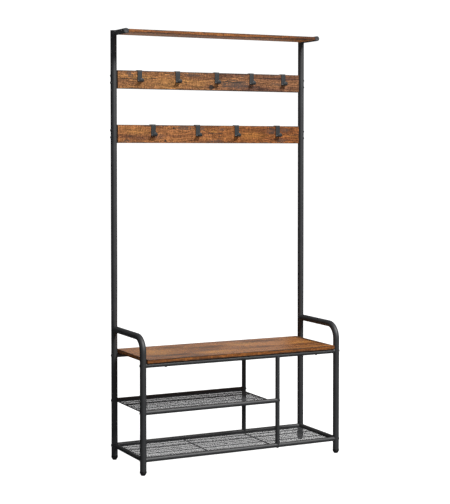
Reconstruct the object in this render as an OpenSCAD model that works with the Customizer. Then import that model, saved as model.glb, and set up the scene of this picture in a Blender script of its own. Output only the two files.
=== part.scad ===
// Hall tree: a shoe bench with a seat, two wire-mesh shoe shelves, two tall posts, two coat-hook
// boards and a top shelf. The frame is round steel tube, bolted from outside; the boards are wood.
// Origin: on the floor, in the middle of the width and depth. +Z is up and the front faces -Y.

/* [Overall size] */
// Width over the outer faces of the posts
overall_w = 940; // [760:5:1200]
// Depth over the outer faces of the posts
overall_d = 340; // [280:5:460]
// Height to the top of the post caps
overall_h = 1830; // [1500:5:2200]

/* [Frame tubes] */
// Outside diameter of the posts, front legs and armrests
tube_d = 27; // [22.5:0.5:34]
// Wall of the posts, front legs and armrests
tube_wall = 1.2; // [0.8:0.1:2]
// Outside diameter of the rails and dividers
rail_d = 19; // [15.5:0.5:21]
// Wall of the rails and dividers
rail_wall = 1; // [0.8:0.1:1.6]
// Outside diameter of the two arms that carry the top shelf
arm_d = 22; // [18:0.5:22]
// From the post axis to the front face of an arm's end cap
arm_reach = 145.5; // [110:0.5:220]
// Length of a post's top section
upper_post_len = 643; // [560:1:720]
// Height of the joint between a rear leg and the post above it
leg_joint_h = 600; // [590:1:700]
// Height of the armrest's axis
armrest_h = 561; // [530:1:580]
// Radius of the armrest's bend, at its axis
bend_r = 60; // [45:1:90]
// How much of the thin tips is ground off where an armrest is shaped to its post
cope_trim = 1; // [0.5:0.1:3]
// Chamfer round the outside of a post section's ends
end_chamfer = 0.5; // [0.2:0.1:0.7]

/* [Bench] */
// Height of the seat's top face
seat_h = 473.5; // [390:0.5:490]
// Thickness of the seat board
seat_t = 16; // [13:0.5:20]
// Height of the raised shoe shelf's rails
mid_rail_h = 255; // [210:1:310]
// Height of the bottom shoe shelf's rails
bottom_rail_h = 62.5; // [50:0.5:80]
// From the left post's axis to the dividers' axis
wide_bay_w = 622; // [500:1:680]
// From a post's axis to the nearest seat screw
seat_screw_inset = 101; // [60:1:140]

/* [Wire shelves] */
// Depth of the mesh below its rails' axis
mesh_drop = 5; // [3:0.5:6]
// Thickness of the mesh panel
mesh_t = 1; // [0.8:0.1:1.6]
// Spacing of the panel's windows
mesh_pitch = 30; // [24:1:60]
// Width of the strips between windows
mesh_strip = 4; // [3:0.5:8]
// Width of the panel's plain border
mesh_border = 6; // [5:0.5:12]
// Diameter of the cross rods under the mesh
rod_d = 5; // [4:0.5:6]
// How far the bottom shelf's two rods sit to the right of the thirds of its length
rod_shift = 15; // [-60:1:60]
// Gap between a post and the raised shelf's end rod
rod_gap = 2; // [1:0.5:10]

/* [Boards] */
// Height of a coat-hook board's face
hook_board_h = 78; // [64:1:110]
// Thickness of a coat-hook board
hook_board_t = 18; // [15:0.5:22]
// From the top of the posts down to the upper hook board's centre
upper_board_drop = 207; // [160:1:240]
// Distance between the two hook boards' centres
board_spacing = 231; // [190:1:280]
// Thickness of the top shelf
top_shelf_t = 15; // [12:0.5:18]

/* [Coat hooks] */
// Width of a hook's steel strip
hook_w = 21; // [16:0.5:28]
// Thickness of a hook's steel strip
hook_t = 2.5; // [2:0.1:3]
// Length of a hook below the top edge of its board
hook_drop = 49; // [42:0.5:62]
// From the face of the strip to the front of the lip
hook_reach = 22; // [19:0.5:30]
// Height of the lip
hook_lip_h = 17; // [14:0.5:22]
// Inner radius of the two bottom bends
hook_bend_r = 6; // [4:0.5:7]
// Length of the leg behind the board
hook_back_leg = 22; // [16:0.5:27]
// Radius of the lip's top corners
hook_corner_r = 10; // [3:0.5:12]

/* [Feet and fasteners] */
// Height of a foot's plastic base
foot_h = 18; // [15:0.5:24]
// Height of the tapered part of the base
foot_taper_h = 11; // [7:0.5:13]
// Diameter of the face that stands on the floor
foot_face_d = 18; // [15:0.5:21]
// How far the base stands proud of the leg all round
foot_flare = 0.7; // [0.2:0.1:1.5]
// Diameter of a foot's stud
foot_stud_d = 8; // [6:0.5:10]
// Length of a foot's stud
foot_stud_len = 26; // [20:1:40]
// Diameter of the frame bolts
bolt_d = 6; // [5:0.5:8]
// Diameter of the frame bolts' heads
bolt_head_d = 11; // [9:0.5:13]
// Height of the frame bolts' heads
bolt_head_h = 2.8; // [2:0.1:4]
// Distance between the two bolts at a hook board's end
board_bolt_pitch = 30; // [24:1:50]
// Diameter of the wood screws
screw_d = 4; // [3.5:0.5:5]
// Diameter of the wood screws' heads
screw_head_d = 8; // [7:0.5:9]
// Height of the wood screws' heads
screw_head_h = 2.2; // [1.5:0.1:2.4]

/* [Clearances] */
// Gap between a board's end and the post or leg beside it
board_gap = 1.5; // [0.5:0.1:3]
// Gap between a hook and its board, in front and behind
hook_gap = 0.4; // [0.3:0.1:1]
// Radial gap of a bolt or screw in a drilled tube
hole_gap = 0.3; // [0.2:0.05:0.6]
// Radial gap of a screwed or pushed fit
fit_gap = 0.05; // [0.02:0.01:0.1]
// Gap between the top shelf and what is beside it
shelf_gap = 0.3; // [0.2:0.1:2]

/* [Hidden] */
$fn = 48;
side_x = overall_w / 2 - tube_d / 2;
side_y = overall_d / 2 - tube_d / 2;
tube_bore = tube_d - 2 * tube_wall;
rail_bore = rail_d - 2 * rail_wall;
arm_bore = arm_d - 2 * tube_wall;
left = -1;
right = 1;
front = -1;
rear = 1;

// posts
cap_t = 2;
plug_len = 14;
plug_wall = 2.5;
post_top = overall_h - cap_t;
upper_joint_h = overall_h - upper_post_len;
sleeve_len = 90;
sleeve_wall = 1.5;
arm_z = post_top + cap_t / 2 - arm_d / 2;
arm_cap_t = 3;
arm_dish_d = arm_d / 2;
arm_dish_depth = 1.2;
arm_cap_y = side_y - arm_reach;

// boards
board_len = 2 * (side_x - tube_d / 2 - board_gap);
upper_board_z = overall_h - upper_board_drop;
lower_board_z = upper_board_z - board_spacing;
top_shelf_len = 2 * (side_x - arm_d / 2 - shelf_gap);
top_shelf_front = arm_cap_y;
top_shelf_rear = side_y - tube_d / 2 - shelf_gap;
seat_rail_z = seat_h - seat_t - rail_d / 2;
seat_bottom = seat_h - seat_t;

// places of the hooks along their boards, as shares of the board's length from its left end
upper_hook_share = [0.1145, 0.3165, 0.53, 0.7245, 0.907];
lower_hook_share = [0.1855, 0.425, 0.641, 0.875];
// radius of a lip's top corners, kept below half the width of the strip
lip_round = min(hook_corner_r, hook_w / 2 - 0.5);

// shelves
divider_x = -side_x + wide_bay_w;
mesh_edge = sqrt(pow(rail_d / 2, 2) - pow(mesh_drop - mesh_t / 2, 2));
mesh_y = side_y - mesh_edge;
mesh_corner = 4;
rod_z = mesh_drop + mesh_t / 2 + rod_d / 2;
mid_left_rod_x = -side_x + tube_d / 2 + rod_gap + rod_d / 2;
mid_right_rod_x = divider_x - rail_d / 2 - rod_gap - rod_d / 2;
bottom_clear_w = 2 * (side_x - tube_d / 2);

// fasteners
insert_len = 14;
insert_inset = 3;
bolt_tip = 3;
socket_across = 4;
socket_depth = 1.6;
head_rim = 0.8;
board_insert_d = 10;
board_insert_len = 15;
screw_bite = 12;
shelf_screw_bite = 26;
shelf_screw_inset = 30;
rail_bolt_len = tube_d + insert_inset + insert_len + bolt_tip;
board_bolt_len = tube_d + board_gap + board_insert_len + bolt_tip;
divider_bolt_len = rail_d + insert_inset + insert_len + bolt_tip;
pocket_gap = 1;

// colours
steel = "#2e2f31";
mesh_grey = "#4a4b4d";
zinc = "#b4b6b9";
black_zinc = "#1d1d1f";
plastic = "#151515";
wood = "#94602f";

// ---------- shared shapes ----------

// A round tube that stands on the XY plane
module tube(d, wall, h) {
    difference() {
        cylinder(d = d, h = h);
        translate([0, 0, -1]) cylinder(d = d - 2 * wall, h = h + 2);
    }
}

// A solid bar the size of a post, to shape what meets it
module post_shape(side, end) {
    translate([side * side_x, end * side_y, -1]) cylinder(d = tube_d, h = overall_h + 2);
}

// A clearance hole along X, right through a post
module cross_hole(side, end, z) {
    translate([side * side_x - tube_d, end * side_y, z]) rotate([0, 90, 0])
        cylinder(d = bolt_d + 2 * hole_gap, h = 2 * tube_d);
}

// A length of post between two heights, with the outside of both ends chamfered
module post_section(side, z0, z1) {
    len = z1 - z0;
    small_d = tube_d - 2 * end_chamfer;
    translate([side * side_x, side_y, z0]) difference() {
        union() {
            cylinder(d1 = small_d, d2 = tube_d, h = end_chamfer);
            translate([0, 0, end_chamfer]) cylinder(d = tube_d, h = len - 2 * end_chamfer);
            translate([0, 0, len - end_chamfer]) cylinder(d1 = tube_d, d2 = small_d, h = end_chamfer);
        }
        translate([0, 0, -1]) cylinder(d = tube_bore, h = len + 2);
    }
}

// Button-head bolt along +Z: the head stands on z = 0 and the shank runs down
module bolt(len) {
    dome_h = bolt_head_h - head_rim;
    dome_r = (pow(bolt_head_d / 2, 2) + pow(dome_h, 2)) / (2 * dome_h);
    translate([0, 0, -len]) cylinder(d = bolt_d, h = len);
    difference() {
        union() {
            cylinder(d = bolt_head_d, h = head_rim);
            rotate_extrude() intersection() {
                translate([0, head_rim]) square([bolt_head_d / 2, dome_h]);
                translate([0, bolt_head_h - dome_r]) circle(r = dome_r, $fn = 96);
            }
        }
        translate([0, 0, bolt_head_h - socket_depth])
            cylinder(d = socket_across / cos(30), h = socket_depth + 1, $fn = 6);
    }
}

// Pan-head wood screw along +Z: the head hangs below z = 0 and the shank runs up
module screw(len) {
    cylinder(d = screw_d, h = len);
    difference() {
        translate([0, 0, -screw_head_h]) cylinder(d = screw_head_d, h = screw_head_h);
        translate([0, 0, -screw_head_h - 1]) cylinder(d = socket_across, h = 1.9, $fn = 6);
    }
}

// Threaded insert along +Z
module insert(d) {
    difference() {
        cylinder(d = d - 2 * fit_gap, h = insert_len);
        translate([0, 0, -1]) cylinder(d = bolt_d + 2 * fit_gap, h = insert_len + 2);
    }
}

// A rail between two X places at one height, shaped to the posts and dividers it meets
module cross_rail(x0, x1, end, z) {
    difference() {
        translate([x0, end * side_y, z]) rotate([0, 90, 0]) tube(rail_d, rail_wall, x1 - x0);
        for (side = [left, right]) post_shape(side, end);
    }
}

// ---------- side frames ----------

module rear_leg(side, rail_heights) {
    color(steel) difference() {
        post_section(side, foot_h, leg_joint_h);
        for (z = rail_heights) cross_hole(side, rear, z);
    }
}
module left_rear_leg() { rear_leg(left, [bottom_rail_h, mid_rail_h, seat_rail_z]); }
module right_rear_leg() { rear_leg(right, [bottom_rail_h, seat_rail_z]); }

module middle_post(side) {
    color(steel) post_section(side, leg_joint_h, upper_joint_h);
}
module left_middle_post() { middle_post(left); }
module right_middle_post() { middle_post(right); }

module upper_post(side) {
    color(steel) difference() {
        post_section(side, upper_joint_h, post_top);
        for (board_z = [upper_board_z, lower_board_z], s = [-1, 1])
            cross_hole(side, rear, board_z + s * board_bolt_pitch / 2);
    }
}
module left_upper_post() { upper_post(left); }
module right_upper_post() { upper_post(right); }

// The front leg bends back at the top to make the armrest, and meets the rear post
module front_leg(side, rail_heights) {
    bend_z = armrest_h - bend_r;
    color(steel) difference() {
        union() {
            translate([side * side_x, -side_y, foot_h]) tube(tube_d, tube_wall, bend_z - foot_h);
            translate([side * side_x, bend_r - side_y, bend_z])
                rotate([0, 0, 180]) rotate([90, 0, 90])
                rotate_extrude(angle = 90) translate([bend_r, 0]) difference() {
                    circle(d = tube_d);
                    circle(d = tube_bore);
                }
            translate([side * side_x, bend_r - side_y, armrest_h]) rotate([-90, 0, 0])
                tube(tube_d, tube_wall, 2 * side_y - bend_r - cope_trim);
        }
        post_shape(side, rear);
        for (z = rail_heights) cross_hole(side, front, z);
    }
}
module left_front_leg() { front_leg(left, [bottom_rail_h, mid_rail_h, seat_rail_z]); }
module right_front_leg() { front_leg(right, [bottom_rail_h, seat_rail_z]); }

module bottom_side_rail(side) {
    color(steel) difference() {
        translate([side * side_x, -side_y, bottom_rail_h]) rotate([-90, 0, 0])
            tube(rail_d, rail_wall, 2 * side_y);
        for (end = [front, rear]) post_shape(side, end);
    }
}
module left_bottom_side_rail() { bottom_side_rail(left); }
module right_bottom_side_rail() { bottom_side_rail(right); }

module shelf_arm(side) {
    arm_front = arm_cap_y + arm_cap_t;
    color(steel) difference() {
        translate([side * side_x, arm_front, arm_z]) rotate([-90, 0, 0])
            tube(arm_d, tube_wall, side_y - arm_front);
        post_shape(side, rear);
        for (y = shelf_screw_places()) translate([side * side_x - arm_d, y, arm_z])
            rotate([0, 90, 0]) cylinder(d = screw_d + 2 * hole_gap, h = 2 * arm_d);
    }
}
module left_shelf_arm() { shelf_arm(left); }
module right_shelf_arm() { shelf_arm(right); }

module arm_cap(side) {
    color(plastic) translate([side * side_x, arm_cap_y, arm_z]) rotate([-90, 0, 0])
        difference() {
            union() {
                cylinder(d = arm_d, h = arm_cap_t);
                translate([0, 0, arm_cap_t])
                    tube(arm_bore - 2 * fit_gap, plug_wall, plug_len);
            }
            translate([0, 0, -1]) cylinder(d = arm_dish_d, h = arm_dish_depth + 1);
        }
}
module left_arm_cap() { arm_cap(left); }
module right_arm_cap() { arm_cap(right); }

module post_cap(side) {
    color(plastic) translate([side * side_x, side_y, post_top]) {
        cylinder(d = tube_d, h = cap_t);
        translate([0, 0, -plug_len]) tube(tube_bore - 2 * fit_gap, plug_wall, plug_len);
    }
}
module left_post_cap() { post_cap(left); }
module right_post_cap() { post_cap(right); }

// The inner sleeve that joins two post sections end to end
module sleeve(side, z) {
    color(zinc) translate([side * side_x, side_y, z - sleeve_len / 2])
        tube(tube_bore - 2 * fit_gap, sleeve_wall, sleeve_len);
}
module left_lower_sleeve() { sleeve(left, leg_joint_h); }
module right_lower_sleeve() { sleeve(right, leg_joint_h); }
module left_upper_sleeve() { sleeve(left, upper_joint_h); }
module right_upper_sleeve() { sleeve(right, upper_joint_h); }

// ---------- rails, dividers and wire shelves ----------

module screwed_seat_rail(end) {
    color(steel) difference() {
        cross_rail(-side_x, side_x, end, seat_rail_z);
        for (x = seat_screw_places()) translate([x, end * side_y, seat_rail_z - rail_d])
            cylinder(d = screw_d + 2 * hole_gap, h = 2 * rail_d);
        translate([divider_x, end * side_y, seat_rail_z - rail_d])
            cylinder(d = bolt_d + 2 * hole_gap, h = 2 * rail_d);
    }
}
module seat_front_rail() { screwed_seat_rail(front); }
module seat_rear_rail() { screwed_seat_rail(rear); }

module mid_shelf_rail(end) {
    color(steel) difference() {
        cross_rail(-side_x, divider_x, end, mid_rail_h);
        translate([divider_x, end * side_y, mid_rail_h - rail_d])
            cylinder(d = rail_d, h = 2 * rail_d);
    }
}
module mid_shelf_front_rail() { mid_shelf_rail(front); }
module mid_shelf_rear_rail() { mid_shelf_rail(rear); }

module bottom_rail(end) {
    color(steel) difference() {
        cross_rail(-side_x, side_x, end, bottom_rail_h);
        translate([divider_x, end * side_y, bottom_rail_h - rail_d])
            cylinder(d = bolt_d + 2 * hole_gap, h = 2 * rail_d);
    }
}
module bottom_front_rail() { bottom_rail(front); }
module bottom_rear_rail() { bottom_rail(rear); }

module divider(end) {
    color(steel) difference() {
        translate([divider_x, end * side_y, bottom_rail_h])
            tube(rail_d, rail_wall, seat_rail_z - bottom_rail_h);
        for (z = [bottom_rail_h, seat_rail_z])
            translate([divider_x - rail_d, end * side_y, z]) rotate([0, 90, 0])
                cylinder(d = rail_d, h = 2 * rail_d);
        translate([divider_x - rail_d, end * side_y, mid_rail_h]) rotate([0, 90, 0])
            cylinder(d = bolt_d + 2 * hole_gap, h = 2 * rail_d);
    }
}
module front_divider() { divider(front); }
module rear_divider() { divider(rear); }

// A thin rod from the front rail to the rear rail, welded under the mesh
module shelf_rod(x, rail_z) {
    reach = side_y - rod_d;
    difference() {
        translate([x, -reach, rail_z - rod_z]) rotate([-90, 0, 0]) cylinder(d = rod_d, h = 2 * reach);
        for (end = [front, rear]) translate([x - rod_d, end * side_y, rail_z]) rotate([0, 90, 0])
            cylinder(d = rail_d, h = 2 * rod_d);
    }
}
module mid_shelf_rods() {
    color(steel) for (x = [mid_left_rod_x, mid_right_rod_x]) shelf_rod(x, mid_rail_h);
}
module bottom_shelf_rods() {
    color(steel) for (s = [-1, 1]) shelf_rod(rod_shift + s * bottom_clear_w / 6, bottom_rail_h);
}

// A flat panel with square windows, between two X places and the front and rear rails
module mesh_panel(x0, x1, rail_z) {
    nx = floor((x1 - x0 - 2 * mesh_border + mesh_strip) / mesh_pitch);
    ny = floor((2 * mesh_y - 2 * mesh_border + mesh_strip) / mesh_pitch);
    wx = (x1 - x0 - 2 * mesh_border + mesh_strip) / nx - mesh_strip;
    wy = (2 * mesh_y - 2 * mesh_border + mesh_strip) / ny - mesh_strip;
    c = mesh_corner;
    outline = [
        [x0 + c, -mesh_y], [x1 - c, -mesh_y], [x1, -mesh_y + c], [x1, mesh_y - c],
        [x1 - c, mesh_y], [x0 + c, mesh_y], [x0, mesh_y - c], [x0, -mesh_y + c]
    ];
    corners = [
        for (i = [0:nx - 1], j = [0:ny - 1], k = [[0, 0], [1, 0], [1, 1], [0, 1]]) [
            x0 + mesh_border + i * (wx + mesh_strip) + k[0] * wx,
            -mesh_y + mesh_border + j * (wy + mesh_strip) + k[1] * wy
        ]
    ];
    windows = [for (n = [0:nx * ny - 1]) [for (k = [0:3]) 8 + 4 * n + k]];
    color(mesh_grey) translate([0, 0, rail_z - mesh_drop - mesh_t / 2]) linear_extrude(mesh_t)
        polygon(concat(outline, corners), concat([[0, 1, 2, 3, 4, 5, 6, 7]], windows));
}
module mid_shelf_mesh() {
    mesh_panel(mid_left_rod_x - rod_d / 2, mid_right_rod_x + rod_d / 2, mid_rail_h);
}
module bottom_shelf_mesh() {
    mesh_panel(mesh_edge - side_x, side_x - mesh_edge, bottom_rail_h);
}

// ---------- boards ----------

function seat_screw_places() = [for (s = [-1, 1]) s * (side_x - seat_screw_inset)];
function shelf_screw_places() =
    [top_shelf_front + shelf_screw_inset, top_shelf_rear - shelf_screw_inset];

module seat_board() {
    seat_d = overall_d;
    color(wood) difference() {
        translate([-board_len / 2, -seat_d / 2, seat_bottom]) cube([board_len, seat_d, seat_t]);
        for (end = [front, rear]) {
            for (x = seat_screw_places()) translate([x, end * side_y, seat_bottom - 1])
                cylinder(d = screw_d + 2 * fit_gap, h = screw_bite + 2);
            translate([divider_x, end * side_y, seat_bottom - 1])
                cylinder(d = bolt_head_d + 2 * pocket_gap, h = bolt_head_h + pocket_gap + 1);
        }
    }
}

module top_shelf_board() {
    color(wood) difference() {
        translate([-top_shelf_len / 2, top_shelf_front, arm_z - top_shelf_t / 2])
            cube([top_shelf_len, top_shelf_rear - top_shelf_front, top_shelf_t]);
        for (side = [left, right], y = shelf_screw_places())
            translate([side * top_shelf_len / 2, y, arm_z]) rotate([0, -side * 90, 0])
                translate([0, 0, -1])
                cylinder(d = screw_d + 2 * fit_gap, h = shelf_screw_bite + 2);
    }
}

module hook_board(z) {
    color(wood) difference() {
        translate([-board_len / 2, side_y - hook_board_t / 2, z - hook_board_h / 2])
            cube([board_len, hook_board_t, hook_board_h]);
        for (side = [left, right], s = [-1, 1])
            translate([side * board_len / 2, side_y, z + s * board_bolt_pitch / 2])
                rotate([0, -side * 90, 0]) translate([0, 0, -1]) {
                    cylinder(d = board_insert_d + 2 * fit_gap, h = board_insert_len + 1);
                    cylinder(d = bolt_d + 2 * hole_gap, h = board_insert_len + 2 * bolt_tip);
                }
    }
}
module upper_hook_board() { hook_board(upper_board_z); }
module lower_hook_board() { hook_board(lower_board_z); }

// ---------- coat hooks ----------

// A quarter ring of strip with its centre at the origin, in the quadrant given by sx and sy
module strip_bend(sx, sy) {
    outer = hook_bend_r + hook_t;
    intersection() {
        difference() {
            circle(r = outer);
            circle(r = hook_bend_r);
        }
        translate([sx < 0 ? -outer : 0, sy < 0 ? -outer : 0]) square(outer);
    }
}

// Side view of a hook: x runs forward from the board's front face, y up from its top edge
module hook_outline() {
    face = hook_gap + hook_t;
    back = -hook_board_t - hook_gap;
    lip_in = face + hook_reach - hook_t;
    bend_y = hook_bend_r + hook_t - hook_drop;
    translate([back - hook_t, 0]) square([face - back + hook_t, hook_t]);
    translate([back - hook_t, -hook_back_leg]) square([hook_t, hook_back_leg]);
    translate([hook_gap, bend_y]) square([hook_t, -bend_y]);
    translate([face + hook_bend_r, bend_y]) strip_bend(-1, -1);
    translate([face + hook_bend_r, -hook_drop])
        square([lip_in - face - 2 * hook_bend_r, hook_t]);
    translate([lip_in - hook_bend_r, bend_y]) strip_bend(1, -1);
    translate([lip_in, bend_y]) square([hook_t, hook_lip_h - hook_bend_r - hook_t]);
}

// A bent strip that sits over the top edge of its board and lifts off
module hook(board_z, share) {
    top = board_z + hook_board_h / 2;
    face_y = side_y - hook_board_t / 2;
    lip_y = face_y - hook_gap - hook_t - hook_reach;
    lip_top = top - hook_drop + hook_lip_h;
    color(steel) translate([(share - 0.5) * board_len, 0, 0]) difference() {
        translate([-hook_w / 2, face_y, top]) rotate([90, 0, -90]) mirror([0, 0, 1])
            linear_extrude(hook_w) hook_outline();
        for (s = [-1, 1])
            translate([s * (hook_w / 2 - lip_round), lip_y - 1, lip_top - lip_round])
                rotate([-90, 0, 0]) linear_extrude(hook_t + 2) difference() {
                    translate([s > 0 ? 0 : -lip_round - 1, -lip_round - 1])
                        square(lip_round + 1);
                    circle(r = lip_round);
                }
    }
}
module hook_upper_1() { hook(upper_board_z, upper_hook_share[0]); }
module hook_upper_2() { hook(upper_board_z, upper_hook_share[1]); }
module hook_upper_3() { hook(upper_board_z, upper_hook_share[2]); }
module hook_upper_4() { hook(upper_board_z, upper_hook_share[3]); }
module hook_upper_5() { hook(upper_board_z, upper_hook_share[4]); }
module hook_lower_1() { hook(lower_board_z, lower_hook_share[0]); }
module hook_lower_2() { hook(lower_board_z, lower_hook_share[1]); }
module hook_lower_3() { hook(lower_board_z, lower_hook_share[2]); }
module hook_lower_4() { hook(lower_board_z, lower_hook_share[3]); }

// ---------- feet ----------

// A tapered plastic base with a stud that screws up into the leg's plug
module foot(side, end) {
    color(plastic) translate([side * side_x, end * side_y, 0]) {
        rotate_extrude() polygon([
            [0, 0], [foot_face_d / 2, 0], [tube_d / 2 + foot_flare, foot_taper_h],
            [tube_d / 2 + foot_flare, foot_h - foot_flare], [tube_d / 2, foot_h], [0, foot_h]
        ]);
        translate([0, 0, foot_h]) cylinder(d = foot_stud_d, h = foot_stud_len);
    }
}
module left_front_foot() { foot(left, front); }
module right_front_foot() { foot(right, front); }
module left_rear_foot() { foot(left, rear); }
module right_rear_foot() { foot(right, rear); }

module foot_plugs() {
    color(plastic) for (side = [left, right], end = [front, rear])
        translate([side * side_x, end * side_y, foot_h]) difference() {
            cylinder(d = tube_bore - 2 * fit_gap, h = foot_stud_len - bolt_tip);
            translate([0, 0, -1]) cylinder(d = foot_stud_d + 2 * fit_gap, h = foot_stud_len);
        }
}

// ---------- fasteners ----------

// Turns a bolt to lie along X, with its head outward on the given side
module toward(side) {
    rotate([0, side * 90, 0]) children();
}

module rail_bolts() {
    color(black_zinc) for (end = [front, rear]) {
        for (side = [left, right], z = [bottom_rail_h, seat_rail_z])
            translate([side * overall_w / 2, end * side_y, z]) toward(side) bolt(rail_bolt_len);
        translate([-overall_w / 2, end * side_y, mid_rail_h]) toward(left) bolt(rail_bolt_len);
    }
}

module mid_shelf_bolts() {
    color(black_zinc) for (end = [front, rear])
        translate([divider_x + rail_d / 2, end * side_y, mid_rail_h]) toward(right)
            bolt(divider_bolt_len);
}

module divider_bolts() {
    color(black_zinc) for (end = [front, rear]) {
        translate([divider_x, end * side_y, seat_rail_z + rail_d / 2]) bolt(divider_bolt_len);
        translate([divider_x, end * side_y, bottom_rail_h - rail_d / 2]) rotate([180, 0, 0])
            bolt(divider_bolt_len);
    }
}

module hook_board_bolts() {
    color(black_zinc) for (side = [left, right], board_z = [upper_board_z, lower_board_z], s = [-1, 1])
        translate([side * overall_w / 2, side_y, board_z + s * board_bolt_pitch / 2])
            toward(side) bolt(board_bolt_len);
}

module rail_inserts() {
    outer_x = side_x - tube_d / 2 - insert_inset;
    color(zinc) for (end = [front, rear]) {
        for (side = [left, right], z = [bottom_rail_h, seat_rail_z])
            translate([side * outer_x, end * side_y, z]) toward(-side) insert(rail_bore);
        translate([-outer_x, end * side_y, mid_rail_h]) toward(right) insert(rail_bore);
        translate([divider_x - rail_d / 2 - insert_inset, end * side_y, mid_rail_h])
            toward(left) insert(rail_bore);
    }
}

module divider_inserts() {
    color(zinc) for (end = [front, rear]) {
        translate([divider_x, end * side_y, bottom_rail_h + rail_d / 2 + insert_inset])
            insert(rail_bore);
        translate([divider_x, end * side_y, seat_rail_z - rail_d / 2 - insert_inset])
            rotate([180, 0, 0]) insert(rail_bore);
    }
}

module board_inserts() {
    color(zinc) for (side = [left, right], board_z = [upper_board_z, lower_board_z], s = [-1, 1])
        translate([side * board_len / 2, side_y, board_z + s * board_bolt_pitch / 2])
            toward(-side) difference() {
                cylinder(d = board_insert_d, h = board_insert_len);
                translate([0, 0, -1]) cylinder(d = bolt_d + 2 * fit_gap, h = board_insert_len + 2);
            }
}

module seat_screws() {
    color(black_zinc) for (end = [front, rear], x = seat_screw_places())
        translate([x, end * side_y, seat_rail_z - rail_d / 2]) screw(rail_d + screw_bite);
}

module top_shelf_screws() {
    color(black_zinc) for (side = [left, right], y = shelf_screw_places())
        translate([side * (side_x + arm_d / 2), y, arm_z]) toward(-side)
            screw(arm_d + shelf_gap + shelf_screw_bite);
}

// ---------- assembly ----------

left_rear_leg();
right_rear_leg();
left_middle_post();
right_middle_post();
left_upper_post();
right_upper_post();
left_front_leg();
right_front_leg();
left_bottom_side_rail();
right_bottom_side_rail();
left_shelf_arm();
right_shelf_arm();
left_arm_cap();
right_arm_cap();
left_post_cap();
right_post_cap();
left_lower_sleeve();
right_lower_sleeve();
left_upper_sleeve();
right_upper_sleeve();
top_shelf_board();
upper_hook_board();
lower_hook_board();
seat_board();
seat_front_rail();
seat_rear_rail();
mid_shelf_front_rail();
mid_shelf_rear_rail();
bottom_front_rail();
bottom_rear_rail();
front_divider();
rear_divider();
mid_shelf_rods();
bottom_shelf_rods();
mid_shelf_mesh();
bottom_shelf_mesh();
left_front_foot();
right_front_foot();
left_rear_foot();
right_rear_foot();
foot_plugs();
hook_upper_1();
hook_upper_2();
hook_upper_3();
hook_upper_4();
hook_upper_5();
hook_lower_1();
hook_lower_2();
hook_lower_3();
hook_lower_4();
rail_bolts();
mid_shelf_bolts();
divider_bolts();
hook_board_bolts();
rail_inserts();
divider_inserts();
board_inserts();
seat_screws();
top_shelf_screws();
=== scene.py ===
from math import cos, pi, radians, sin, sqrt

import bmesh
import bpy
from mathutils import Matrix, Vector


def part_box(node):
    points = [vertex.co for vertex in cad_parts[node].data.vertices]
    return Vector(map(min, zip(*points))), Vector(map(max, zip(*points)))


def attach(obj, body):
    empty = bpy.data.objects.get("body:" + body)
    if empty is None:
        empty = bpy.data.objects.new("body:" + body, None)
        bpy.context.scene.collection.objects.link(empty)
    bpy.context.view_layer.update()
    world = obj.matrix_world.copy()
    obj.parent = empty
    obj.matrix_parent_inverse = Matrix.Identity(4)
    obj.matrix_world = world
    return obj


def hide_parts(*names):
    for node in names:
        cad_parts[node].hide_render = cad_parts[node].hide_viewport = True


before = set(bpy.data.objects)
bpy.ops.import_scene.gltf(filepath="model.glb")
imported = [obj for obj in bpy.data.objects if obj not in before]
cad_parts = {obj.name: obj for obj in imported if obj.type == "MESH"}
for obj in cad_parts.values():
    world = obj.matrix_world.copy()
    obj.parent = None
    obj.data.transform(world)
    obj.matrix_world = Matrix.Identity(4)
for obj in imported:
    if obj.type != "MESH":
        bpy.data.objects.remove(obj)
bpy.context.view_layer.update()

# ---- Camera ----
# A long lens at standing eye height, in front of the hall tree and to its left, nearly level.
camera = bpy.data.objects.new("camera", bpy.data.cameras.new("camera"))
bpy.context.collection.objects.link(camera)
camera.location = (-2.5464, -5.0925, 1.3229)
camera.rotation_euler = (radians(90 - 1.827), 0, radians(-26.504))
camera.data.sensor_width = 36
camera.data.lens = 94.66
camera.data.shift_y = -0.1183
bpy.context.scene.camera = camera

# ---- Studio: light, backdrop and floor ----
# A white room with a large soft lamp high on the right, so hooks and boards throw a faint shadow
# down to the left, weak broad fills in front and behind, and a plain white floor and backdrop.
bpy.context.scene.view_settings.view_transform = "Standard"
world = bpy.data.worlds.new("room")
world.use_nodes = True
bpy.context.scene.world = world
world.cycles_visibility.glossy = False  # the room isn't mirrored in the tubes, whose edges stay dark
room = world.node_tree
heading = room.nodes.new("ShaderNodeTexCoord")
upward = room.nodes.new("ShaderNodeSeparateXYZ")
fade = room.nodes.new("ShaderNodeMapRange")
room.links.new(heading.outputs["Generated"], upward.inputs[0])
room.links.new(upward.outputs["Z"], fade.inputs["Value"])
for socket, value in (("From Min", -0.75), ("From Max", -0.05), ("To Min", 0.80), ("To Max", 0.12)):
    fade.inputs[socket].default_value = value
room.links.new(fade.outputs[0], room.nodes["Background"].inputs["Strength"])
room.nodes["Background"].inputs["Color"].default_value = (1, 1, 1, 1)


def lamp(name, place, aim, size, power):
    light = bpy.data.lights.new(name, "AREA")
    light.shape = "DISK"
    light.size = size
    light.energy = power
    holder = bpy.data.objects.new(name, light)
    bpy.context.collection.objects.link(holder)
    holder.location = place
    holder.rotation_euler = (Vector(aim) - Vector(place)).to_track_quat("-Z", "Y").to_euler()
    return holder


lamp("key_lamp", (1.92, -4.6, 5.9), (0, 0, 1.0), 1.7, 560)
lamp("front_fill", (-0.9, -5.0, 2.2), (0, 0, 1.1), 3.0, 85).visible_glossy = False
lamp("rear_fill", (1.2, 5.4, 3.2), (0, 0, 1.0), 3.5, 110).visible_glossy = False


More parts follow.
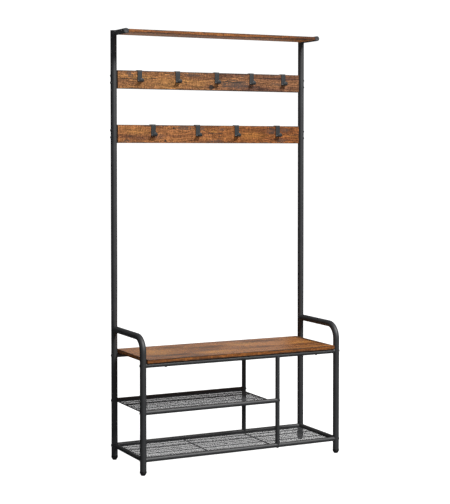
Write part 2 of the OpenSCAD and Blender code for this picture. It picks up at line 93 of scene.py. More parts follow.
def stage_finish(name, colour, glow):
    """A matt surface that glows white, so that the floor and the backdrop read as one."""
    mat = bpy.data.materials.new(name)
    mat.use_nodes = True
    shader = mat.node_tree.nodes["Principled BSDF"]
    shader.inputs["Base Color"].default_value = (*colour, 1)
    shader.inputs["Roughness"].default_value = 0.9
    shader.inputs["Specular IOR Level"].default_value = 0.1
    shader.inputs["Emission Color"].default_value = (1, 1, 1, 1)
    shader.inputs["Emission Strength"].default_value = glow
    return mat


def stage_mesh(name, build, mat):
    mesh = bpy.data.meshes.new(name)
    bm = bmesh.new()
    build(bm)
    bm.to_mesh(mesh)
    bm.free()
    mesh.materials.append(mat)
    thing = bpy.data.objects.new(name, mesh)
    bpy.context.collection.objects.link(thing)
    return thing


def hide_from(thing, *rays):
    for ray in rays:
        setattr(thing, "visible_" + ray, False)


floor = stage_mesh("floor", lambda bm: bmesh.ops.create_circle(bm, cap_ends=True, segments=96, radius=14),
                   stage_finish("floor_white", (0.3, 0.3, 0.3), 1.02))
backdrop = stage_mesh("backdrop", lambda bm: bmesh.ops.create_icosphere(bm, subdivisions=4, radius=15),
                      stage_finish("backdrop_white", (0, 0, 0), 1.1))
for surface in (floor, backdrop):
    hide_from(surface, "diffuse", "glossy", "transmission", "shadow", "volume_scatter")

# A white card behind the hall tree, seen only in the gloss of the pieces.
card_stand = (Matrix.Translation((-0.3, 3.6, 2.2)) @ Matrix.Rotation(radians(90), 4, "X")
              @ Matrix.Diagonal((2.6, 1.5, 1, 1)))
back_card = stage_mesh("back_card", lambda bm: bmesh.ops.create_grid(
    bm, x_segments=1, y_segments=1, size=1, matrix=card_stand), stage_finish("card_white", (0, 0, 0), 0.26))
hide_from(back_card, "camera", "diffuse", "transmission", "shadow", "volume_scatter")

# ---- Steel tube frame ----
# Round steel tube, bent, coped and welded into two side frames, with bolted cross rails; the
# whole frame has a charcoal powder coat, which cures to a fine pebbled skin with a low sheen.
MM = 0.001
sides = {"left": -1, "right": 1}


def shader_of(name):
    mat = bpy.data.materials.new(name)
    mat.use_nodes = True
    return mat, mat.node_tree, mat.node_tree.nodes["Principled BSDF"]


def add(tree, kind, inputs=(), **settings):
    """One node: inputs is pairs of socket name or number and a value or another node's output."""
    made = tree.nodes.new(kind)
    for key, value in settings.items():
        setattr(made, key, value)
    for key, value in inputs:
        if isinstance(value, bpy.types.NodeSocket):
            tree.links.new(value, made.inputs[key])
        else:
            made.inputs[key].default_value = value
    return made


def own_place(tree, scale=(1, 1, 1), shift=(0, 0, 0)):
    """The point on the piece itself, in metres, stretched by scale."""
    here = add(tree, "ShaderNodeTexCoord").outputs["Object"]
    return add(tree, "ShaderNodeMapping", [("Vector", here), ("Location", shift),
                                           ("Scale", scale)]).outputs[0]


def noise(tree, place, scale, detail, rough):
    return add(tree, "ShaderNodeTexNoise", [("Vector", place), ("Scale", scale), ("Detail", detail),
                                            ("Roughness", rough)]).outputs["Fac"]


def spread(tree, value, low, high, to_low=0.0, to_high=1.0):
    """Maps low..high onto to_low..to_high, smoothly and clamped."""
    return add(tree, "ShaderNodeMapRange", [("Value", value), ("From Min", low), ("From Max", high),
                                            ("To Min", to_low), ("To Max", to_high)],
               interpolation_type="SMOOTHSTEP").outputs[0]


def tint(tree, share, a, b, how="MIX"):
    """Colour a with b laid over it by share."""
    pairs = [(0, share)]
    for socket, value in ((6, a), (7, b)):
        pairs.append((socket, value if isinstance(value, bpy.types.NodeSocket) else (*value, 1)))
    return add(tree, "ShaderNodeMix", pairs, data_type="RGBA", blend_type=how).outputs[2]


def shade(colour, amount):
    """The colour made paler, or darker where amount is under one."""
    return [min(v * amount, 1) for v in colour]


def bump(tree, height, strength, distance):
    return add(tree, "ShaderNodeBump", [("Height", height), ("Strength", strength),
                                        ("Distance", distance)]).outputs[0]


def powder_coat(name, colour, rough, gloss):
    """A pebbled coat, faintly clouded, with a few paler specks in it."""
    mat, tree, shader = shader_of(name)
    place = own_place(tree)
    pebbles = noise(tree, place, 950, 3, 0.6)
    cloud = noise(tree, place, 14, 4, 0.55)
    speck = noise(tree, place, 420, 2, 0.5)
    base = tint(tree, spread(tree, cloud, 0.35, 0.68), shade(colour, 0.88), shade(colour, 1.1))
    base = tint(tree, spread(tree, speck, 0.56, 0.72, 0, 0.35), base, shade(colour, 1.9))
    tree.links.new(base, shader.inputs["Base Color"])
    tree.links.new(spread(tree, pebbles, 0.3, 0.7, rough - 0.07, rough + 0.09), shader.inputs["Roughness"])
    tree.links.new(bump(tree, pebbles, 0.5, 0.03 * MM), shader.inputs["Normal"])
    shader.inputs["Specular IOR Level"].default_value = gloss
    return mat


def dress(nodes, mat):
    for node in nodes:
        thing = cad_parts[node]
        thing.data.materials.clear()
        thing.data.materials.append(mat)


charcoal = powder_coat("charcoal_powder_coat", (0.023, 0.024, 0.026), 0.57, 1.0)
dress([side + "_" + part for side in sides for part in
       ("rear_leg", "middle_post", "upper_post", "front_leg", "bottom_side_rail", "shelf_arm")], charcoal)
dress(["seat_front_rail", "seat_rear_rail", "mid_shelf_front_rail", "mid_shelf_rear_rail",
       "bottom_front_rail", "bottom_rear_rail", "front_divider", "rear_divider"], charcoal)

# ---- Weld beads ----
# Thin rounded beads of weld where the armrests, the bottom side rails and the shelf arms run into
# the posts; each bead follows the saddle that the smaller tube makes on the bigger one.
post_low, post_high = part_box("right_rear_leg")
post_x, post_y = (post_low.x + post_high.x) / 2, (post_low.y + post_high.y) / 2
post_r = (post_high.x - post_low.x) / 2
bead_steps = 56


def piece(name, bm, mats, body, replaced=(), smooth=True):
    """Turns a finished mesh into an object in its place, riding on its body."""
    bmesh.ops.recalc_face_normals(bm, faces=bm.faces)
    mesh = bpy.data.meshes.new(name)
    bm.to_mesh(mesh)
    bm.free()
    for mat in mats:
        mesh.materials.append(mat)
    for face in mesh.polygons:
        face.use_smooth = smooth
    thing = bpy.data.objects.new(name, mesh)
    bpy.context.collection.objects.link(thing)
    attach(thing, body)
    if replaced:
        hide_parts(*replaced)
    return thing


def skin(bm, rings, loop=False, material=0):
    """Joins rings of points into a tube; loop joins the last ring to the first."""
    rows = [[bm.verts.new(p) for p in ring] for ring in rings]
    pairs = list(zip(rows, rows[1:])) + ([(rows[-1], rows[0])] if loop else [])
    for a, b in pairs:
        count = len(a)
        for k in range(count):
            face = bm.faces.new((a[k], a[(k + 1) % count], b[(k + 1) % count], b[k]))
            face.material_index = material
    return rows


def saddle_bead(bm, centre_y, toward, z, tube_r, x, bead_r=1.3 * MM):
    """A bead round a level tube of radius tube_r that runs along Y into the post at centre_y."""
    rings = []
    for i in range(bead_steps):
        turn = 2 * pi * i / bead_steps
        across, up = tube_r * cos(turn), tube_r * sin(turn)
        reach = sqrt(max(post_r ** 2 - across ** 2, (0.25 * post_r) ** 2))
        middle = Vector((x + across, centre_y + toward * reach, z + up))
        outward = Vector((cos(turn), 0, sin(turn)))
        along = Vector((0, toward, 0))
        wobble = 1 + 0.12 * sin(9 * turn) + 0.08 * sin(23 * turn + x)
        rings.append([middle + bead_r * wobble * (outward * cos(a) + along * sin(a))
                      for a in (2 * pi * k / 8 for k in range(8))])
    skin(bm, rings, loop=True)


beads = bmesh.new()
for side, way in sides.items():
    rail_low, rail_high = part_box(side + "_bottom_side_rail")
    arm_low, arm_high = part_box(side + "_shelf_arm")
    armrest_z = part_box(side + "_front_leg")[1].z - post_r
    rail_z, rail_r = (rail_low.z + rail_high.z) / 2, (rail_high.z - rail_low.z) / 2
    arm_z, arm_r = (arm_low.z + arm_high.z) / 2, (arm_high.z - arm_low.z) / 2
    saddle_bead(beads, post_y, -1, armrest_z, post_r - 0.3 * MM, way * post_x)
    saddle_bead(beads, post_y, -1, rail_z, rail_r, way * post_x)
    saddle_bead(beads, -post_y, 1, rail_z, rail_r, way * post_x)
    saddle_bead(beads, post_y, -1, arm_z, arm_r, way * post_x, 0.9 * MM)
piece("weld_beads", beads, [charcoal], "frame")

# ---- Tube caps ----
# Moulded plastic: flat black lids with a rounded rim that plug the tops of the posts, and dark
# grey, dished discs that plug the front ends of the two arms under the top shelf.


def moulded(name, colour, rough):
    """Moulded plastic with a fine grain, rubbed paler and duller here and there."""
    mat, tree, shader = shader_of(name)
    place = own_place(tree)
    grains = noise(tree, place, 1400, 3, 0.6)
    rubbed = noise(tree, place, 60, 4, 0.6)
    tree.links.new(tint(tree, spread(tree, rubbed, 0.4, 0.7, 0, 0.6), colour, shade(colour, 1.5)),
                   shader.inputs["Base Color"])
    tree.links.new(spread(tree, rubbed, 0.3, 0.7, rough - 0.06, rough + 0.1), shader.inputs["Roughness"])
    tree.links.new(bump(tree, grains, 0.5, 0.04 * MM), shader.inputs["Normal"])
    shader.inputs["Specular IOR Level"].default_value = 0.3
    return mat


def turned(bm, profile, origin, axis, steps=64):
    """Spins a profile of (radius, height) pairs about an axis through origin."""
    lean = axis.to_track_quat("Z", "Y").to_matrix()
    rings = [[origin + lean @ Vector((r * cos(a), r * sin(a), h))
              for a in (2 * pi * k / steps for k in range(steps))] for r, h in profile]
    rows = skin(bm, rings)
    for row in (rows[0], rows[-1]):
        bmesh.ops.contextual_create(bm, geom=row)


def corner(cx, cy, r, start, end):
    """Six points round an arc, from start to end degrees, as (radius, height) pairs."""
    turns = [radians(start + (end - start) * k / 5) for k in range(6)]
    return [(cx + r * cos(turn), cy + r * sin(turn)) for turn in turns]


black_plastic = moulded("moulded_black_plastic", (0.022, 0.022, 0.023), 0.5)
grey_plastic = moulded("arm_disc_plastic", (0.050, 0.051, 0.054), 0.45)
tube_wall, plug_flat, plug_depth = 1.3 * MM, 2.5 * MM, 14 * MM
lid_t, lid_rim, lid_dip = 2 * MM, 1.2 * MM, 0.25 * MM
disc_t, disc_rim, disc_dip = 3 * MM, 1.4 * MM, 1.2 * MM


def plug(tube_r, head_t, shrink):
    """The profile of the plug inside a tube, from its flat end up to the underside of its head."""
    bore_r, plug_end = tube_r - tube_wall, -head_t - plug_depth
    return [(bore_r - plug_flat, plug_end), (bore_r, plug_end), (bore_r, -head_t), (tube_r - shrink, -head_t)]


for side, way in sides.items():
    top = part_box(side + "_post_cap")[1].z
    profile = plug(post_r, lid_t, 0.1 * MM) + corner(post_r - lid_rim, -lid_rim, lid_rim, 0, 90)
    profile += [(post_r - 4 * MM, 0), (post_r - 4.6 * MM, -lid_dip), (0.5 * MM, -lid_dip)]
    lid = bmesh.new()
    turned(lid, profile, Vector((way * post_x, post_y, top)), Vector((0, 0, 1)))
    piece(side + "_post_lid", lid, [black_plastic], "frame", [side + "_post_cap"])

    arm_low, arm_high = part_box(side + "_shelf_arm")
    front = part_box(side + "_arm_cap")[0].y
    arm_z, arm_r = (arm_low.z + arm_high.z) / 2, (arm_high.z - arm_low.z) / 2
    profile = plug(arm_r, disc_t, 0.05 * MM) + corner(arm_r - disc_rim, -disc_rim, disc_rim, 0, 90)
    profile += corner(5.9 * MM, -0.5 * MM, 0.5 * MM, 90, 180)
    profile += corner(4.4 * MM, 0.5 * MM - disc_dip, 0.5 * MM, 0, -90) + [(0.4 * MM, -disc_dip)]
    disc = bmesh.new()
    turned(disc, profile, Vector((way * post_x, front, arm_z)), Vector((0, -1, 0)))
    piece(side + "_arm_disc", disc, [grey_plastic], "frame", [side + "_arm_cap"])

# ---- Feet ----
# Moulded black levelling feet: a cone that widens from the floor to the width of the leg, with a
# short collar above it and a stud that screws up into a plastic plug inside the leg.
foot_plastic = moulded("foot_black_plastic", (0.012, 0.012, 0.013), 0.42)
stud_r, thread_depth, thread_pitch, thread_start = 4 * MM, 0.5 * MM, 1.25 * MM, 18.4 * MM
for end in ("front", "rear"):
    for side in sides:
        name = side + "_" + end + "_foot"
        low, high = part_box(name)
        wide = (high.x - low.x) / 2
        profile = [(0.5 * MM, 0.4 * MM), (6.4 * MM, 0.4 * MM), (6.8 * MM, 0)]
        profile += corner(7.4 * MM, 1.6 * MM, 1.6 * MM, -90, -25)
        profile += corner(wide - 2.2 * MM, 11.2 * MM, 2.2 * MM, -25, 0)
        profile += [(wide, 14.6 * MM), (wide - 0.35 * MM, 14.9 * MM), (wide - 0.35 * MM, 15.3 * MM)]
        profile += [(wide, 15.6 * MM)] + corner(wide - 0.8 * MM, 17.0 * MM, 0.8 * MM, 0, 90)
        profile += [(stud_r, 18 * MM)]
        for turn in range(20):
            crest = thread_start + turn * thread_pitch
            profile += [(stud_r, crest), (stud_r - thread_depth, crest + 0.6 * MM)]
        profile += [(stud_r, thread_start + 20 * thread_pitch), (stud_r - 0.7 * MM, high.z)]
        foot = bmesh.new()
        turned(foot, profile, Vector(((low.x + high.x) / 2, (low.y + high.y) / 2, 0)), Vector((0, 0, 1)), 48)
        piece(name + "_base", foot, [foot_plastic], name, [name])
dress(["foot_plugs"], black_plastic)

# ---- Bolts, screws, inserts and sleeves ----
# Black-zinc button-head bolts and pan-head screws, darker and glossier than the tubes; bright
# zinc-plated inserts in the boards and rail ends, and sleeves inside the post joints.


def plated(name, colour, rough, metal):
    """Zinc plating with the faint bloom that it gets from the bath."""
    mat, tree, shader = shader_of(name)
    place = own_place(tree)
    bloom = noise(tree, place, 260, 4, 0.6)
    tree.links.new(tint(tree, spread(tree, bloom, 0.35, 0.7), colour, shade(colour, 1.35)),
                   shader.inputs["Base Color"])
    tree.links.new(spread(tree, bloom, 0.3, 0.7, rough - 0.08, rough + 0.1), shader.inputs["Roughness"])
    tree.links.new(bump(tree, noise(tree, place, 2200, 2, 0.5), 0.3, 0.02 * MM), shader.inputs["Normal"])
    shader.inputs["Metallic"].default_value = metal
    return mat


dress(["rail_bolts", "mid_shelf_bolts", "divider_bolts", "hook_board_bolts", "seat_screws",
       "top_shelf_screws"], plated("black_zinc", (0.030, 0.030, 0.032), 0.36, 0.6))
bright_zinc = plated("bright_zinc", (0.55, 0.56, 0.58), 0.32, 1.0)
dress(["rail_inserts", "divider_inserts", "board_inserts"], bright_zinc)
dress([side + "_" + joint + "_sleeve" for side in sides for joint in ("lower", "upper")], bright_zinc)

# ---- Wire shelves ----
# Two shelves of fine welded wire: straight wires front to back under long wires side to side, which
# wander a little between their welds; powder coated, and laid on thin cross rods between the rails.
dress(["mid_shelf_rods", "bottom_shelf_rods"], charcoal)
# The wires have the frame's charcoal coat, painted paler here: that extra paleness is a painted sheen for the
# light the wire tops catch.
wire_coat_painted_sheen = powder_coat("wire_coat_painted_sheen", (0.056, 0.057, 0.060), 0.5, 0.35)
wire_r, wire_steps = 0.30 * MM, 24
wire_pitch, column_pitch = 3.0 * MM, 12.0 * MM


def wire(bm, points, across, up):
    """A thin six-sided wire through points; across and up are the two directions square to it."""
    spokes = [wire_r * (across * cos(turn) + up * sin(turn)) for turn in (pi * k / 3 for k in range(6))]
    rows = skin(bm, [[point + spoke for spoke in spokes] for point in points])
    for row in (rows[0], rows[-1]):
        bm.faces.new(row)


def drift(row, x):
    """How far a long wire wanders from its even place, as drawn wire does between its welds."""
    slow = 1.7 * MM * sin(0.50 * row + 2.0 * sin(0.13 * row) + 0.9 * sin(4 * x))
    return slow + 0.2 * MM * sin(15 * x + 0.2 * row)


for shelf in ("mid", "bottom"):
    low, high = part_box(shelf + "_shelf_mesh")
    level = (low.z + high.z) / 2
    wires = bmesh.new()
    rows_of_wire = round((high.y - low.y) / wire_pitch)
    first, last = low.y + wire_r, high.y - wire_r
    for k in range(rows_of_wire + 1):
        even = first + (last - first) * k / rows_of_wire
        run = []
        for i in range(wire_steps + 1):
            x = low.x + (high.x - low.x) * i / wire_steps
            run.append(Vector((x, min(max(even + drift(k, x), first), last), level + wire_r)))
        wire(wires, run, Vector((0, 1, 0)), Vector((0, 0, 1)))
    columns = round((high.x - low.x) / column_pitch)
    for k in range(columns + 1):
        x = low.x + wire_r + (high.x - low.x - 2 * wire_r) * k / columns
        ends = [Vector((x, y, level - wire_r)) for y in (low.y, high.y)]
        wire(wires, ends, Vector((1, 0, 0)), Vector((0, 0, 1)))
    piece(shelf + "_shelf_wires", wires, [wire_coat_painted_sheen], "frame", [shelf + "_shelf_mesh"])

# ---- Boards ----
# Particle board faced with a rustic brown wood print: warm orange-brown with grey-brown smudges,
# dark knots and fine cracks along its length, satin, with a matching print on the glued edge bands.
dark_brown, brown = (0.080, 0.036, 0.021), (0.210, 0.083, 0.032)
amber, gold = (0.330, 0.134, 0.042), (0.490, 0.225, 0.058)
smoke_grey, crack_black = (0.060, 0.046, 0.040), (0.022, 0.018, 0.016)


def sums(tree, how, a, b=0.0):
    return add(tree, "ShaderNodeMath", [(0, a), (1, b)], operation=how).outputs[0]


def plus(tree, a, b):
    return sums(tree, "ADD", a, b)


def minus(tree, a, b):
    return sums(tree, "SUBTRACT", a, b)


def times(tree, a, b):
    return sums(tree, "MULTIPLY", a, b)


def away(tree, spot, centre, stretch=(1.0, 1.0)):
    """How far spot is from centre, with the two distances along and across scaled by stretch."""
    dx = times(tree, minus(tree, spot[0], centre[0]), stretch[0])
    dy = times(tree, minus(tree, spot[1], centre[1]), stretch[1])
    return sums(tree, "SQRT", plus(tree, sums(tree, "POWER", dx, 2.0), sums(tree, "POWER", dy, 2.0)))


def frayed(tree, distance, hairs, amount):
    """A distance made uneven by the hairs of the grain, so that nothing has a clean outline."""
    return plus(tree, distance, times(tree, minus(tree, hairs, 0.5), amount))


def drawn(tree, place, scale, detail, rough):
    """Noise drawn out along the board; scale is how fast it changes along, across and through."""
    stretched = add(tree, "ShaderNodeMapping", [("Vector", place), ("Scale", scale)]).outputs[0]
    return noise(tree, stretched, 1.0, detail, rough)


def round_knots(tree, spot, knots):
    """The distance across the board, pulled towards each knot so that the grain runs round it."""
    bend = spot[1]
    for x, y, r in knots:
        pull = sums(tree, "EXPONENT", times(tree, away(tree, spot, (x, y), (0.22 / r, 0.5 / r)), -1.4))
        shift = times(tree, minus(tree, spot[1], y), 0.75)
        bend = minus(tree, bend, times(tree, shift, pull))
    return bend


def swayed(tree, flat):
    """The same place with the slow wander that the grain of a sawn board has."""
    slow = add(tree, "ShaderNodeMapping", [("Vector", flat), ("Scale", (2.6, 9, 9))]).outputs[0]
    sway = add(tree, "ShaderNodeTexNoise", [("Vector", slow), ("Scale", 1.0), ("Detail", 3)]).outputs["Color"]
    for how, by in (("SUBTRACT", (0.5, 0.5, 0.5)), ("MULTIPLY", (0.05, 0.04, 0.04)), ("ADD", flat)):
        sway = add(tree, "ShaderNodeVectorMath", [(0, sway), (1, by)], operation=how).outputs[0]
    return sway


def patch(tree, spot, hairs, shape, fray, rim, core):
    """How strongly a frayed oval covers spot; shape is its place, length, height and strength."""
    x, y, length, height, strength = shape
    reach = away(tree, spot, (x, y), (2.0 / length, 2.0 / height))
    return spread(tree, frayed(tree, reach, hairs, fray), rim, core, 0, strength)


def crack(tree, spot, flat, shape):
    """One thin crack along the board; shape is the place of its middle and its length."""
    x, y, length = shape
    wander = times(tree, minus(tree, drawn(tree, flat, (26, 26, 26), 3, 0.6), 0.5), 0.012)
    dx = sums(tree, "ABSOLUTE", minus(tree, spot[0], x))
    dy = sums(tree, "ABSOLUTE", minus(tree, plus(tree, spot[1], wander), y))
    return times(tree, spread(tree, dx, length / 2, length / 3), spread(tree, dy, 0.0029, 0.0009))


def fine_splits(tree, flat, grain):
    """Hair-thin splits that follow the grain, in some stretches of the board only."""
    line = sums(tree, "ABSOLUTE", minus(tree, drawn(tree, grain, (4.5, 64, 64), 3, 0.5), 0.5))
    some = spread(tree, drawn(tree, flat, (7, 22, 22), 2, 0.5), 0.54, 0.64)
    return times(tree, spread(tree, line, 0.014, 0.003), some)


def dark_rim(tree, across, half_height, clouds):
    """The darker rim along the board's two long edges."""
    inward = minus(tree, half_height, sums(tree, "ABSOLUTE", across))
    inward = plus(tree, inward, times(tree, minus(tree, clouds, 0.5), 0.02))
    return spread(tree, inward, 0.0042, 0.0012, 0, 0.75)


def wood_print(name, node, lie, seed, tones, rough, gloss, figure=42, grit=1.0,
               knots=(), smudges=(), golds=(), cracks=()):
    """lie: the two axes of the printed face; seed: where it is cut from the endless print; tones:
    what multiplies the print at the left and at the right; figure: bands to the metre; grit: how
    strong the fine mottle is. Each knot, smudge, gold patch and crack is placed from the middle."""
    mat, tree, shader = shader_of(name)
    low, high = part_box(node)
    half_length, half_height = [(high["XYZ".index(axis)] - low["XYZ".index(axis)]) / 2 for axis in lie]
    from_middle = own_place(tree, shift=[-(a + b) / 2 for a, b in zip(low, high)])
    axes = add(tree, "ShaderNodeSeparateXYZ", [(0, from_middle)]).outputs
    along, across = axes[lie[0]], axes[lie[1]]
    through = plus(tree, axes["XYZ".replace(lie[0], "").replace(lie[1], "")], seed)
    spot = (along, across)
    flat = add(tree, "ShaderNodeCombineXYZ", [(0, along), (1, round_knots(tree, spot, knots)),
                                              (2, through)]).outputs[0]
    grain = swayed(tree, flat)
    bands = drawn(tree, grain, (3.6, figure, figure), 5, 0.62)
    fibres = drawn(tree, grain, (14, 520, 520), 3, 0.6)
    hairs = drawn(tree, grain, (34, 240, 240), 4, 0.65)
    clouds = drawn(tree, grain, (7, 0.7 * figure, 0.7 * figure), 5, 0.62)
    mottle = drawn(tree, flat, (170, 210, 210), 3, 0.62)
    saw = drawn(tree, flat, (300, 24, 24), 2, 0.5)

    colour = tint(tree, spread(tree, bands, 0.28, 0.42), dark_brown, brown)
    colour = tint(tree, spread(tree, bands, 0.38, 0.54), colour, amber)
    colour = tint(tree, spread(tree, bands, 0.56, 0.76, 0, 0.85), colour, gold)
    for shape in golds:
        colour = tint(tree, patch(tree, spot, hairs, shape, 2.4, 1.2, 0.2), colour, gold)
    rightward = spread(tree, along, -0.5 * half_length, 0.6 * half_length)
    colour = tint(tree, 1.0, colour, tint(tree, rightward, *tones), "MULTIPLY")

    grainy = times(tree, spread(tree, mottle, 0.34, 0.66, 1 - 0.48 * grit, 1 + 0.48 * grit),
                   spread(tree, hairs, 0.34, 0.66, 1 - 0.42 * grit, 1 + 0.42 * grit))
    grainy = times(tree, grainy, spread(tree, saw, 0.36, 0.62, 0.78, 1.14))
    grainy = times(tree, grainy, spread(tree, fibres, 0.34, 0.6, 0.7, 1.1))
    colour = tint(tree, 1.0, colour, grainy, "MULTIPLY")

    smoke = spread(tree, clouds, 0.60, 0.74, 0, 0.4)
    for shape in smudges:
        smoke = sums(tree, "MAXIMUM", smoke, patch(tree, spot, hairs, shape, 3.0, 1.15, 0.35))
    broken = spread(tree, mottle, 0.62, 0.42, 0.4, 1.0)
    colour = tint(tree, times(tree, smoke, broken), colour, smoke_grey)

    marks = fine_splits(tree, flat, grain)
    for shape in cracks:
        marks = sums(tree, "MAXIMUM", marks, crack(tree, spot, flat, shape))
    for x, y, r in knots:
        ragged = frayed(tree, away(tree, spot, (x, y)), hairs, 0.011)
        marks = sums(tree, "MAXIMUM", marks, spread(tree, ragged, r * 1.3, r * 0.8))
    marks = sums(tree, "MAXIMUM", marks, dark_rim(tree, across, half_height, clouds))
    colour = tint(tree, times(tree, marks, 0.92), colour, crack_black)
    tree.links.new(colour, shader.inputs["Base Color"])

    dullness = plus(tree, hairs, times(tree, smoke, 0.35))
    tree.links.new(spread(tree, dullness, 0.35, 0.95, rough - 0.04, rough + 0.14), shader.inputs["Roughness"])
    relief = plus(tree, times(tree, fibres, 0.45), times(tree, hairs, 0.55))
    relief = minus(tree, relief, times(tree, marks, 0.8))
    tree.links.new(bump(tree, relief, 0.35, 0.25 * MM), shader.inputs["Normal"])
    shader.inputs["Specular IOR Level"].default_value = gloss
    return mat


def pressed_corner(name, colour):
    """The pressed corner between face print and edge band, rubbed darker by the trimming."""
    mat, tree, shader = shader_of(name)
    patchy = noise(tree, own_place(tree, (40, 160, 160)), 1.0, 4, 0.6)
    tree.links.new(tint(tree, spread(tree, patchy, 0.35, 0.65), colour, shade(colour, 2.1)),
                   shader.inputs["Base Color"])
    tree.links.new(spread(tree, patchy, 0.3, 0.7, 0.42, 0.62), shader.inputs["Roughness"])
    tree.links.new(bump(tree, patchy, 0.3, 0.1 * MM), shader.inputs["Normal"])
    return mat


dark_corner = pressed_corner("dark_board_corner", (0.040, 0.022, 0.014))
board_corner_r = 1.2 * MM
corner_steps = [(1.5, 0.0), (1.35, 0.14), (1.2, 0.03), (0.75, 0.08), (0.35, 0.28), (0.1, 0.6), (0.0, 1.0)]


def board_ring(low, high, plane, thick_axis, level, inset):
    """The outline of the board at one level through its thickness, drawn in by inset."""
    r = max(board_corner_r - inset, 0.05 * MM)
    ring = []
    for way_a, way_b, start in ((1, 1, 0), (-1, 1, 90), (-1, -1, 180), (1, -1, 270)):
        for k in range(5):
            turn = radians(start + 90 * k / 4)
            point = Vector((0, 0, 0))
            point[thick_axis] = level
            for axis, way, part in ((plane[0], way_a, cos(turn)), (plane[1], way_b, sin(turn))):
                middle, reach = (low[axis] + high[axis]) / 2, (high[axis] - low[axis]) / 2 - inset - r
                point[axis] = middle + way * reach + r * part
            ring.append(point)
    return ring


def edged_board(name, node, thick_axis, face_print, edge_print):
    """A board with rounded corners and, round both faces, the fine joint of face and edge band.
    Each corner step is an inset from the edge and a depth from the face, in millimetres."""
    low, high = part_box(node)
    plane = [k for k in range(3) if k != thick_axis]
    near_face = [(low[thick_axis] + depth * MM, inset * MM) for inset, depth in corner_steps]
    far_face = [(high[thick_axis] - depth * MM, inset * MM) for inset, depth in reversed(corner_steps)]
    rings = [board_ring(low, high, plane, thick_axis, level, inset) for level, inset in near_face + far_face]
    board = bmesh.new()
    rows = skin(board, rings, material=1)
    for row in (rows[0], rows[-1]):
        board.faces.new(row)
    board.faces.ensure_lookup_table()
    band_start = (len(corner_steps) - 1) * len(rings[0])
    for k in range(band_start, band_start + len(rings[0])):
        board.faces[k].material_index = 2
    piece(name, board, [face_print, dark_corner, edge_print], "frame", [node], smooth=False)


upper_print = wood_print(
    "upper_board_print", "upper_hook_board", "XZ", 0.0, ((0.86, 0.93, 1.0), (0.64, 0.70, 0.98)), 0.5, 0.22,
    knots=[(0.000, -0.025, 0.011), (0.236, -0.019, 0.0034)],
    smudges=[(-0.386, 0.025, 0.032, 0.028, 1.0), (-0.19, 0.022, 0.06, 0.022, 0.45),
             (-0.09, 0.029, 0.12, 0.020, 0.75), (0.125, -0.012, 0.18, 0.042, 1.0),
             (0.154, 0.025, 0.024, 0.018, 0.8), (0.33, -0.004, 0.08, 0.020, 0.5),
             (0.31, 0.036, 0.12, 0.008, 0.9), (-0.06, 0.037, 0.20, 0.006, 0.8)],
    golds=[(-0.21, -0.016, 0.16, 0.044, 0.35), (-0.07, -0.018, 0.12, 0.032, 0.3),
           (-0.33, 0.012, 0.10, 0.030, 0.35)],
    cracks=[(-0.385, 0.003, 0.11), (-0.29, 0.006, 0.07), (0.09, 0.000, 0.15)])
lower_print = wood_print(
    "lower_board_print", "lower_hook_board", "XZ", 3.7, ((0.84, 0.82, 0.88), (0.70, 0.60, 0.54)), 0.5, 0.22,
    knots=[(-0.181, 0.026, 0.0052), (-0.222, -0.029, 0.0056), (-0.232, 0.035, 0.0042)],
    smudges=[(-0.13, 0.026, 0.09, 0.020, 0.85), (-0.043, 0.024, 0.026, 0.022, 0.8),
             (0.016, -0.028, 0.08, 0.014, 0.85), (0.05, 0.022, 0.04, 0.014, 0.6),
             (0.30, 0.016, 0.06, 0.030, 0.6), (0.368, 0.020, 0.05, 0.024, 0.7),
             (0.345, -0.026, 0.07, 0.026, 0.75), (0.27, -0.036, 0.08, 0.007, 0.95),
             (-0.40, -0.030, 0.05, 0.012, 0.7)],
    golds=[(0.012, 0.011, 0.04, 0.016, 0.9), (0.20, -0.004, 0.16, 0.044, 0.75),
           (-0.36, 0.010, 0.12, 0.040, 0.5)],
    cracks=[(0.41, 0.0, 0.07), (0.02, 0.005, 0.08)])
seat_print = wood_print(
    "seat_print", "seat_board", "XY", 7.092, ((1.15, 1.05, 0.80), (1.52, 1.52, 1.55)), 0.24, 0.3,
    figure=14, grit=0.6, knots=[(-0.04, 0.05, 0.006), (0.33, -0.07, 0.005)],
    smudges=[(-0.08, 0.03, 0.26, 0.10, 0.8), (0.23, 0.10, 0.30, 0.08, 0.8), (0.13, -0.06, 0.26, 0.06, 0.7),
             (-0.22, 0.09, 0.16, 0.09, 0.8), (-0.26, -0.10, 0.14, 0.06, 0.6), (0.38, -0.10, 0.12, 0.05, 0.5)],
    golds=[(-0.33, 0.00, 0.20, 0.20, 0.8), (-0.10, -0.10, 0.22, 0.10, 0.8), (0.10, 0.06, 0.18, 0.10, 0.6)],
    cracks=[(0.11, -0.02, 0.16), (-0.15, 0.06, 0.10)])
shelf_print = wood_print(
    "top_shelf_print", "top_shelf_board", "XY", 11.3, ((1.40, 1.38, 1.32), (1.35, 1.30, 1.22)), 0.34, 0.55)
seat_edge = wood_print(
    "seat_edge_print", "seat_board", "XZ", 16.07, ((0.75, 0.66, 0.54), (0.72, 0.63, 0.52)), 0.45, 0.25,
    grit=0.7)
shelf_edge = wood_print(
    "top_shelf_edge_print", "top_shelf_board", "XZ", 19.26585, ((0.70, 0.62, 0.54), (0.66, 0.58, 0.50)),
    0.45, 0.25, grit=0.7)
edged_board("upper_hook_panel", "upper_hook_board", 1, upper_print, upper_print)
edged_board("lower_hook_panel", "lower_hook_board", 1, lower_print, lower_print)
edged_board("seat_panel", "seat_board", 2, seat_print, seat_edge)
edged_board("top_shelf_panel", "top_shelf_board", 2, shelf_print, shelf_edge)

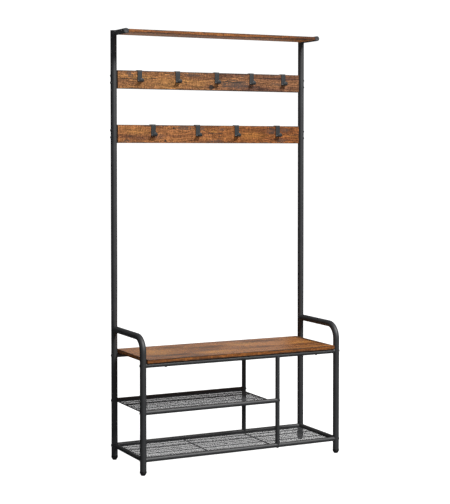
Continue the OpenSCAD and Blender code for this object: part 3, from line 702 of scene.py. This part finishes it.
# ---- Coat hooks ----
# Flat steel strip, bent over the top edge of the board, down its face, then forward and up into
# a short lip with rounded corners; powder coated, with the edges of the strip left softly broken.
hook_coat = powder_coat("hook_coat", (0.025, 0.028, 0.030), 0.56, 0.5)
strip_w, strip_t, strip_edge, end_bevel = 21 * MM, 2.5 * MM, 0.6 * MM, 0.25 * MM
leg_end, leg_points, leg_step, leg_round = -22 * MM, 5, 4 * MM, 1.5 * MM
lip_forward, lip_top, lip_points, lip_round = 22 * MM, -32 * MM, 10, 10 * MM
top_bend, low_bend, low_bend_up = 2.05 * MM, 7.25 * MM, -40.5 * MM
board_low, board_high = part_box("upper_hook_board")
board_t, board_face = board_high.y - board_low.y, board_low.y


def strip_line():
    """The middle of the strip from the leg behind the board to the lip: forward, up and turn,
    from the board's face and its top edge."""
    half_t, gap = strip_t / 2, 0.4 * MM
    back, front = -board_t - gap - half_t, gap + half_t
    lip = front + lip_forward
    line = [(back, leg_end + k * leg_step, 90) for k in range(leg_points)]

    def arc(cx, cy, r, start, end, steps):
        for k in range(steps + 1):
            turn = start + (end - start) * k / steps
            heading = turn + (90 if end > start else -90)
            line.append((cx + r * cos(radians(turn)), cy + r * sin(radians(turn)), heading))

    arc(back + top_bend, half_t - top_bend, top_bend, 180, 90, 6)
    arc(front - top_bend, half_t - top_bend, top_bend, 90, 0, 6)
    line.extend((front, up * MM, -90) for up in (-8, -16, -24, -32))
    arc(front + low_bend, low_bend_up, low_bend, 180, 270, 10)
    arc(lip - low_bend, low_bend_up, low_bend, -90, 0, 10)
    line.extend((lip, low_bend_up + (lip_top - low_bend_up) * k / lip_points, 90)
                for k in range(1, lip_points + 1))
    return line


def rounded_in(from_end, r):
    """How far each side of the strip is cut back, from_end before an end with corners of radius r."""
    into = r - from_end
    return r - sqrt(max(r * r - into * into, 0)) if into > 0 else 0


def hook_mesh(board_top, middle_x):
    """The strip with softly broken edges, narrowed to round corners at its two ends."""
    line = strip_line()
    rings = []
    for i, (forward, up, heading) in enumerate(line):
        half_w, half_t = strip_w / 2, strip_t / 2
        if i < leg_points:
            half_w -= rounded_in(up - leg_end, leg_round)
        if i >= len(line) - lip_points:
            half_w -= rounded_in(lip_top - up, lip_round)
        if i in (0, len(line) - 1):
            half_t -= end_bevel
        side_y, side_z = cos(radians(heading + 90)), sin(radians(heading + 90))
        ring = []
        for way_w, way_t, start in ((1, 1, 0), (-1, 1, 90), (-1, -1, 180), (1, -1, 270)):
            for k in range(4):
                turn = radians(start + 90 * k / 3)
                across = way_w * (half_w - strip_edge) + strip_edge * cos(turn)
                out = way_t * (half_t - strip_edge) + strip_edge * sin(turn)
                ring.append(Vector((middle_x + across, board_face - (forward + out * side_y),
                                    board_top + up + out * side_z)))
        rings.append(ring)
    hook = bmesh.new()
    rows = skin(hook, rings)
    for row in (rows[0], rows[-1]):
        hook.faces.new(row)
    return hook


for row, count in (("upper", 5), ("lower", 4)):
    board_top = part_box(row + "_hook_board")[1].z
    for number in range(1, count + 1):
        node = f"hook_{row}_{number}"
        low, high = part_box(node)
        strip = hook_mesh(board_top, (low.x + high.x) / 2)
        piece(node + "_strip", strip, [hook_coat], node, [node])
